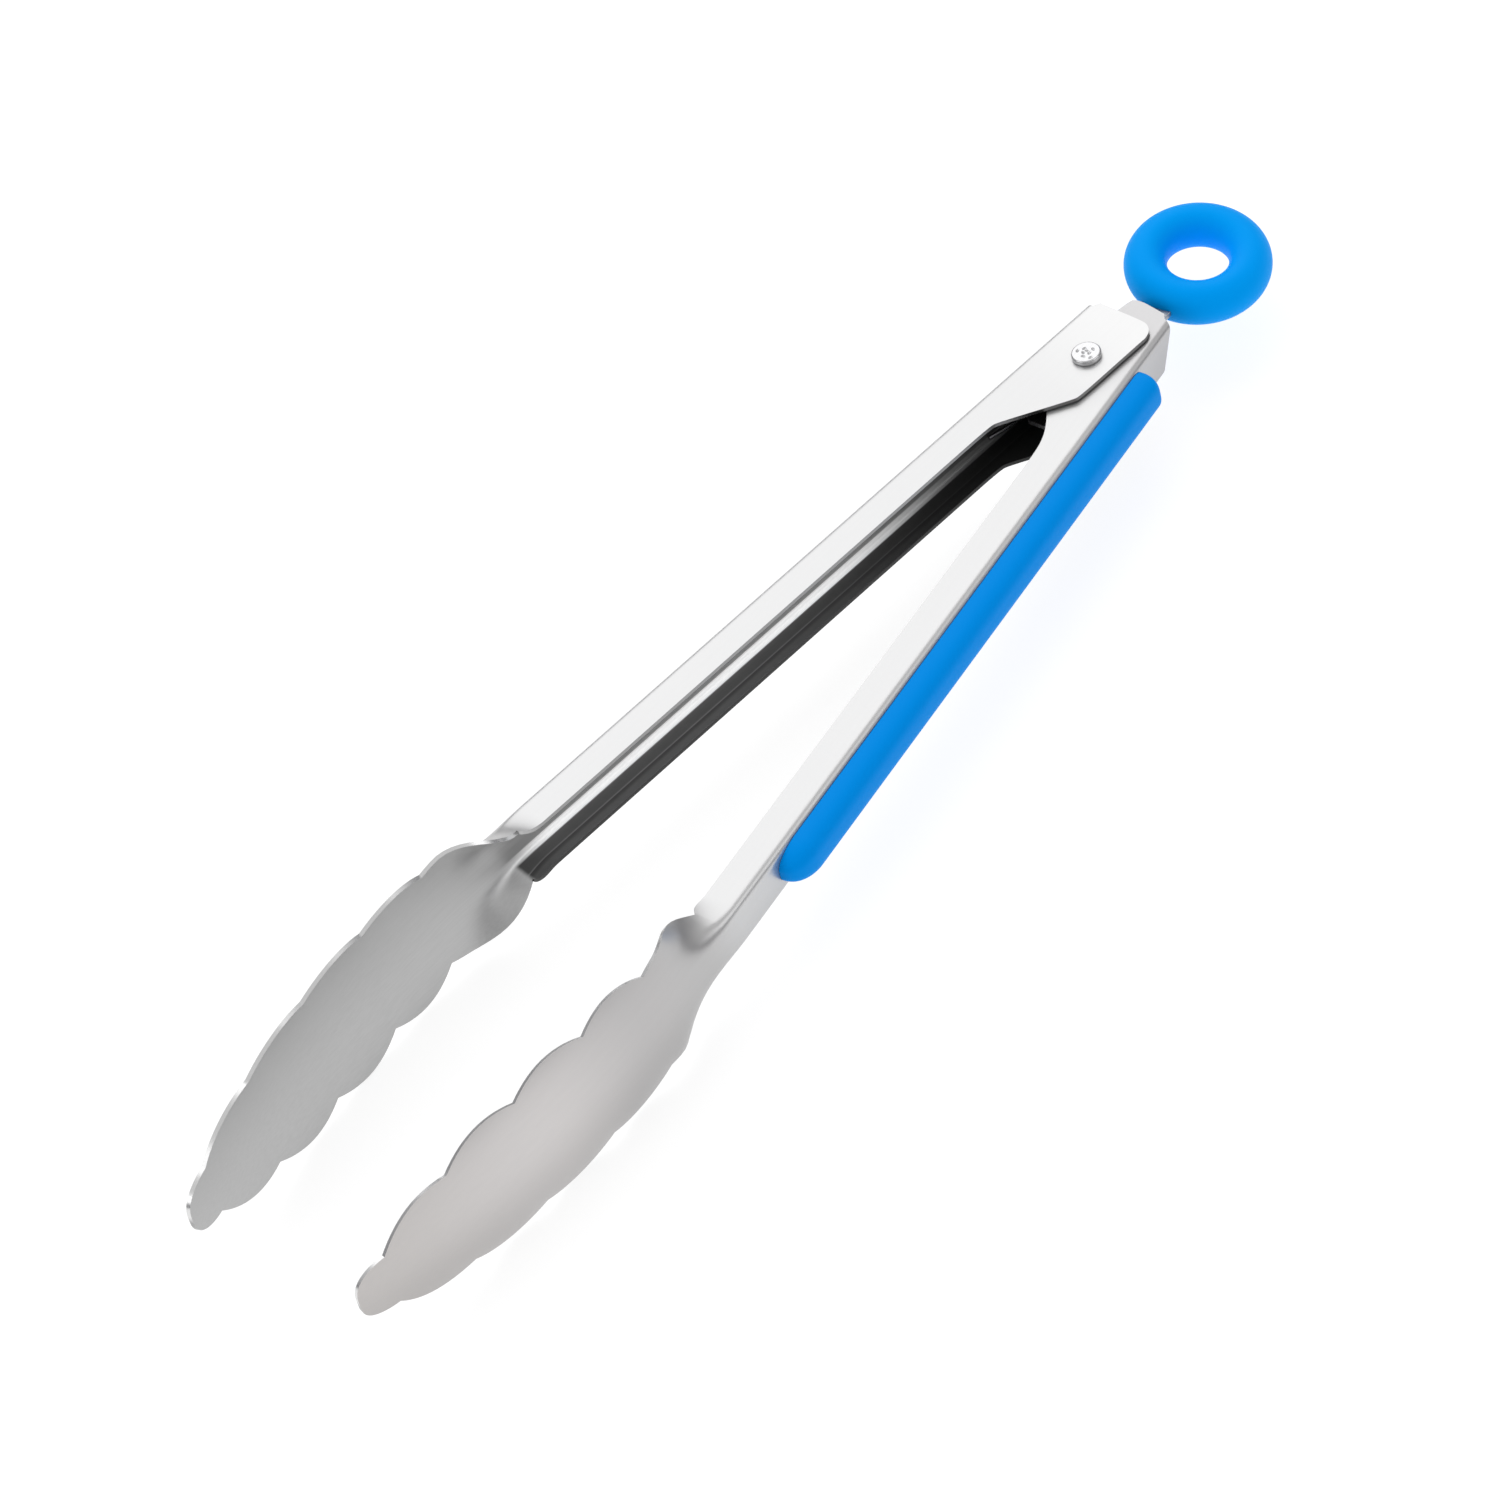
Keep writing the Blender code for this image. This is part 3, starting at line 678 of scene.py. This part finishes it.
def build_grip():
    """Silicone pad on the outside of the inner arm's web, with soft corners in its section."""
    side_power, top_power = 0.62, 0.72
    half = INNER_HALF_WIDTH - GRIP_INSET
    base = WEB_DISTANCE + GRIP_GAP
    shape = bmesh.new()
    rings = []
    for s, width, rise in grip_stations():
        ring = []
        for angle in np.linspace(0.0, math.pi, 41):
            w = math.copysign(abs(math.cos(angle)) ** side_power, math.cos(angle)) * half * width
            v = base + math.sin(angle) ** top_power * GRIP_HEIGHT * rise
            ring.append(shape.verts.new((s, v, w)))
        rings.append(ring)
    bridge(shape, rings, closed=True)
    shape.faces.new(rings[0])
    shape.faces.new(rings[-1])
    rubber = silicone("grip_blue_silicone", (0.0, 0.285, 0.86))
    item = link_mesh("inner_grip_pad", shape, [rubber], smooth_angle=60.0)
    place_on_pivot(item, INNER_TURN)
    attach(item, "inner_side")
    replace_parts(item, "inner_grip")


def build_ring():
    """Soft ring of oval section round the slide's eye."""
    shape = bmesh.new()
    rings = []
    for turn in np.linspace(0.0, 2 * math.pi, 144, endpoint=False):
        ring = []
        for angle in np.linspace(0.0, 2 * math.pi, 56, endpoint=False):
            reach = RING_RADIUS + RING_TUBE * math.cos(angle)
            ring.append(shape.verts.new((EYE_CENTRE + reach * math.cos(turn), reach * math.sin(turn),
                                         RING_HALF_HEIGHT * math.sin(angle))))
        rings.append(ring)
    bridge(shape, rings + rings[:1], closed=True)
    rubber = silicone("ring_blue_silicone", (0.0, 0.36, 1.0))
    item = link_mesh("pull_ring_moulding", shape, [rubber], smooth_angle=180.0)
    item.data.transform(Matrix.Rotation(RING_LEAN, 4, "X"))
    place_on_pivot(item)
    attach(item, "ring_slide")
    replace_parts(item, "pull_ring")


# ---------------------------------------------------------------- rivet

def dent_depth(x, y):
    """Depth of the peening marks on the rivet's crown, which wind outwards from its middle."""
    depth = 0.0
    width, length = DENT_SIZE
    for index in range(DENT_COUNT):
        turn = 2.4 * index
        reach = (0.3 + 0.24 * index) * MM
        dx, dy = x - reach * math.cos(turn), y - reach * math.sin(turn)
        outward = dx * math.cos(turn) + dy * math.sin(turn)
        aside = dy * math.cos(turn) - dx * math.sin(turn)
        depth += DENT_DEPTH * math.exp(-(outward / width) ** 2 - (aside / length) ** 2)
    return depth


def rivet_profile(face, top):
    """Half profile (radius, height) from the rivet's middle to the flat of its crown."""
    profile = [(SHANK_RADIUS, 0.0), (SHANK_RADIUS, face), (HEAD_RADIUS - 0.1 * MM, face),
               (HEAD_RADIUS, face + 0.1 * MM), (HEAD_RADIUS, top - 0.32 * MM),
               (HEAD_RADIUS - 0.07 * MM, top - 0.16 * MM), (HEAD_RADIUS - 0.18 * MM, top - 0.06 * MM)]
    return profile + [(CROWN_RADIUS * share, top) for share in np.linspace(1.0, 0.0, 19)[:-1]]


def build_rivet():
    """Shank with a head at each end, made as two mirrored halves from the middle plane."""
    face = OUTER_HALF_WIDTH + CLEARANCE - HEAD_SEAT
    top = OUTER_HALF_WIDTH + CLEARANCE + HEAD_HEIGHT
    turns = np.linspace(0.0, 2 * math.pi, 96, endpoint=False)
    shape = bmesh.new()
    for side in (1, -1):
        rings = []
        for radius, height in rivet_profile(face, top):
            ring = []
            for turn in turns:
                x, y = radius * math.cos(turn), radius * math.sin(turn)
                marked = height - dent_depth(x, y) if height == top else height
                ring.append(shape.verts.new((x, y, side * marked)))
            rings.append(ring)
        bridge(shape, rings, closed=True)
        centre = shape.verts.new((0, 0, side * (top - dent_depth(0, 0))))
        rim = rings[-1]
        for vertex, following in zip(rim, rim[1:] + rim[:1]):
            shape.faces.new((vertex, following, centre))
    bmesh.ops.remove_doubles(shape, verts=shape.verts, dist=0.001 * MM)
    steel = brushed_steel("rivet_bright", (0.6, 0.6, 0.61), 0.2, grain=0.04)
    item = link_mesh("pivot_rivet_heads", shape, [steel], smooth_angle=50.0)
    place_on_pivot(item)
    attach(item, "pivot_core")
    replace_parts(item, "pivot_rivet")


# ---------------------------------------------------------------- lock slide

def arc(centre, radius, first, last, count):
    """Points of an arc round (centre, 0), from one angle to another."""
    return [(centre + radius * math.cos(a), radius * math.sin(a))
            for a in np.linspace(first, last, count)]


def plate(outline, thickness):
    """Flat plate from its upper half outline, mirrored in the x axis."""
    lower = [(x, -y) for x, y in reversed(outline) if y > 0.001 * MM]
    shape = bmesh.new()
    rings = [[shape.verts.new((x, y, z)) for x, y in outline + lower]
             for z in (-thickness / 2, thickness / 2)]
    bridge(shape, rings, closed=True)
    shape.faces.new(rings[0])
    shape.faces.new(rings[1])
    return shape


def slide_outline():
    """Upper half of the plate: its body with the two wings, the neck, and the eye."""
    width, wing, neck, chamfer = 5.2 * MM, 7.6 * MM, 3.5 * MM, 1.2 * MM
    back, wing_start, body_end = -15.5 * MM, -5.0 * MM, 12.0 * MM
    outline = [(back, width - chamfer), (back + chamfer, width), (wing_start - chamfer, width),
               (wing_start, wing), (0.0, wing), (chamfer, width), (body_end, width),
               (body_end + chamfer, neck)]
    return outline + arc(EYE_CENTRE, EYE_RADIUS, math.pi - math.asin(neck / EYE_RADIUS), 0.0, 48)


def slot_outline():
    """Upper half of the long slot that the sleeve stands in."""
    back, radius = -9.0 * MM, 3.3 * MM
    return arc(back, radius, math.pi, math.pi / 2, 16) + arc(0.0, radius, math.pi / 2, 0.0, 16)


def build_slide():
    """Stamped lock plate with its slot round the sleeve and its eye inside the pull ring."""
    steel = brushed_steel("slide_bright", (0.4, 0.4, 0.41), 0.3)
    item = link_mesh("lock_slide_plate", plate(slide_outline(), SLIDE_THICKNESS), [steel])
    cutters = [link_mesh("slot_cut", plate(slot_outline(), 2 * SLIDE_THICKNESS), []),
               cylinder("eye_cut", EYE_HOLE_RADIUS, 4 * SLIDE_THICKNESS, 72, EYE_CENTRE)]
    cut_away(item, cutters)
    round_edges(item, SLIDE_ROUNDING)
    bake_modifiers(item)
    remove(cutters)
    place_on_pivot(item)
    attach(item, "ring_slide")
    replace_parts(item, "lock_slide")


# ---------------------------------------------------------------- spring and sleeve

def wire(name, points, radius, material):
    """Round wire through the given points, with closed ends, as a mesh."""
    curve = bpy.data.curves.new(name, "CURVE")
    curve.dimensions = "3D"
    curve.bevel_depth = radius
    curve.bevel_resolution = 4
    curve.use_fill_caps = True
    spline = curve.splines.new("POLY")
    spline.points.add(len(points) - 1)
    for target, point in zip(spline.points, points):
        target.co = (*point, 1.0)
    source = bpy.data.objects.new(name, curve)
    bpy.context.scene.collection.objects.link(source)
    graph = bpy.context.evaluated_depsgraph_get()
    mesh = bpy.data.meshes.new_from_object(source.evaluated_get(graph))
    remove([source])
    mesh.materials.clear()
    mesh.materials.append(material)
    item = bpy.data.objects.new(name, mesh)
    bpy.context.scene.collection.objects.link(item)
    return item


def straight(start, end, count=14):
    """Points of a straight stretch of wire."""
    return [start.lerp(end, share) for share in np.linspace(0.0, 1.0, count)]


def mirrored(points):
    """The same points on the other side of the tongs' middle plane."""
    return [Vector((point.x, point.y, -point.z)) for point in points]


def build_spring():
    """Two coils on the sleeve, with legs along the arms; the two legs on the inner arm are joined."""
    near, far, steps = 1.3 * MM, 3.2 * MM, 96    # heights of a coil's ends above the middle plane
    gap = WEB_DISTANCE - SHEET - CLEARANCE - WIRE_RADIUS
    tip = Vector((-LEG_REACH, LEG_REACH * math.tan(HALF_OPENING) + gap / math.cos(HALF_OPENING)))
    start = math.atan2(tip.y, tip.x) - math.acos(COIL_RADIUS / tip.length)
    winding = 2 * start + 2 * math.pi
    coil = []
    for share in np.arange(steps + 1) / steps:
        angle = start - winding * share
        coil.append(Vector((COIL_RADIUS * math.cos(angle), COIL_RADIUS * math.sin(angle),
                            far + (near - far) * share)))
    outer_leg = straight(Vector((tip.x, tip.y, far)), coil[0])
    bridge_end = Vector((tip.x + WIRE_RADIUS, -tip.y + WIRE_RADIUS / 4, near))
    inner_leg = straight(coil[-1], bridge_end) + [Vector((tip.x, -tip.y, near - WIRE_RADIUS))]
    bridge_wire = inner_leg + mirrored(inner_leg)[::-1]
    pieces = [("spring_coil_near", coil, None), ("spring_coil_far", mirrored(coil), None),
              ("spring_leg_near", outer_leg, "outer_side"),
              ("spring_leg_far", mirrored(outer_leg), "outer_side"),
              ("spring_bridge", bridge_wire, "inner_side")]
    # The wire's dark grey is painted shade: the spring sits in the dark gap between the ears.
    steel = brushed_steel("spring_wire_steel", (0.22, 0.22, 0.23), 0.28)
    for name, points, arm in pieces:
        item = wire(name, points, WIRE_RADIUS, steel)
        item.data.transform(Matrix.Translation(PIVOT))
        if arm is None:
            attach(item, "pivot_core")
        else:
            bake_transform(item)
        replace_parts(item, "torsion_spring")


def finish_sleeve():
    """The CAD's spacer sleeve is shown as it is, in turned steel."""
    sleeve = frame["nodes"]["spacer_sleeve"]
    sleeve.data.materials.clear()
    sleeve.data.materials.append(brushed_steel("sleeve_turned", (0.66, 0.66, 0.67), 0.24))


# ---------------------------------------------------------------- studio

def build_floor():
    """White floor just under the tongs, with light of its own so that it stays white."""
    shape = bmesh.new()
    bmesh.ops.create_grid(shape, x_segments=1, y_segments=1, size=3.0)
    material, _, shader = node_material("floor_white")
    shader.inputs["Base Color"].default_value = (*grey(0.34), 1.0)
    shader.inputs["Roughness"].default_value = 0.9
    shader.inputs["Specular IOR Level"].default_value = 0.0
    shader.inputs["Emission Color"].default_value = (*grey(1.0), 1.0)
    shader.inputs["Emission Strength"].default_value = 0.78
    floor = link_mesh("studio_floor", shape, [material])
    floor.location.z = -0.2 * MM


def softbox(name, place, size, power):
    """Rectangular light that faces the origin."""
    light = bpy.data.lights.new(name, "AREA")
    light.shape = "RECTANGLE"
    light.size, light.size_y = size
    light.energy = power
    item = bpy.data.objects.new(name, light)
    bpy.context.scene.collection.objects.link(item)
    item.location = place
    item.rotation_euler = (-Vector(place)).to_track_quat("-Z", "Y").to_euler()


def build_world():
    """Room that is dim near the floor and bright overhead."""
    world = bpy.data.worlds.new("studio")
    world.use_nodes = True
    tree = world.node_tree
    place = tree.nodes.new("ShaderNodeTexCoord")
    split = tree.nodes.new("ShaderNodeSeparateXYZ")
    tree.links.new(place.outputs["Generated"], split.inputs["Vector"])
    stops = [(0.0, (0.16, 0.16, 0.17)), (0.2, (0.26, 0.26, 0.27)), (0.62, (0.72, 0.72, 0.72))]
    background = tree.nodes["Background"]
    background.inputs["Strength"].default_value = 1.0
    tree.links.new(colour_ramp(tree, split.outputs["Z"], stops), background.inputs["Color"])
    bpy.context.scene.world = world


def build_lights():
    softbox("back_top_softbox", (0.70, 0.81, 1.05), (1.5, 1.5), 6.8)
    softbox("left_softbox", (-1.1, 0.5, 0.9), (1.0, 0.8), 3.0)
    softbox("front_softbox", (0.5, -1.2, 0.9), (1.0, 0.7), 2.4)


def build_camera():
    """Long lens that looks down on the tongs from beyond the tips, on the inner arm's side."""
    camera = bpy.data.objects.new("camera", bpy.data.cameras.new("camera"))
    bpy.context.scene.collection.objects.link(camera)
    camera.data.lens = CAMERA_LENS
    camera.data.sensor_width = 36.0
    camera.data.clip_start = 0.05
    camera.data.clip_end = 20.0
    forward = CAMERA_FORWARD.normalized()
    level = forward.cross(Vector((0, 0, 1))).normalized()
    down = forward.cross(level)
    right = level * math.cos(CAMERA_ROLL) + down * math.sin(CAMERA_ROLL)
    up = right.cross(forward)
    turn = Matrix((right, up, -forward)).transposed()
    camera.matrix_world = Matrix.Translation(PIVOT + CAMERA_FROM_PIVOT) @ turn.to_4x4()
    bpy.context.scene.camera = camera


def main():
    build_arms()
    build_grip()
    build_ring()
    build_rivet()
    build_slide()
    build_spring()
    finish_sleeve()
    build_floor()
    build_world()
    build_lights()
    build_camera()
    bpy.context.scene.view_settings.view_transform = "Standard"


main()
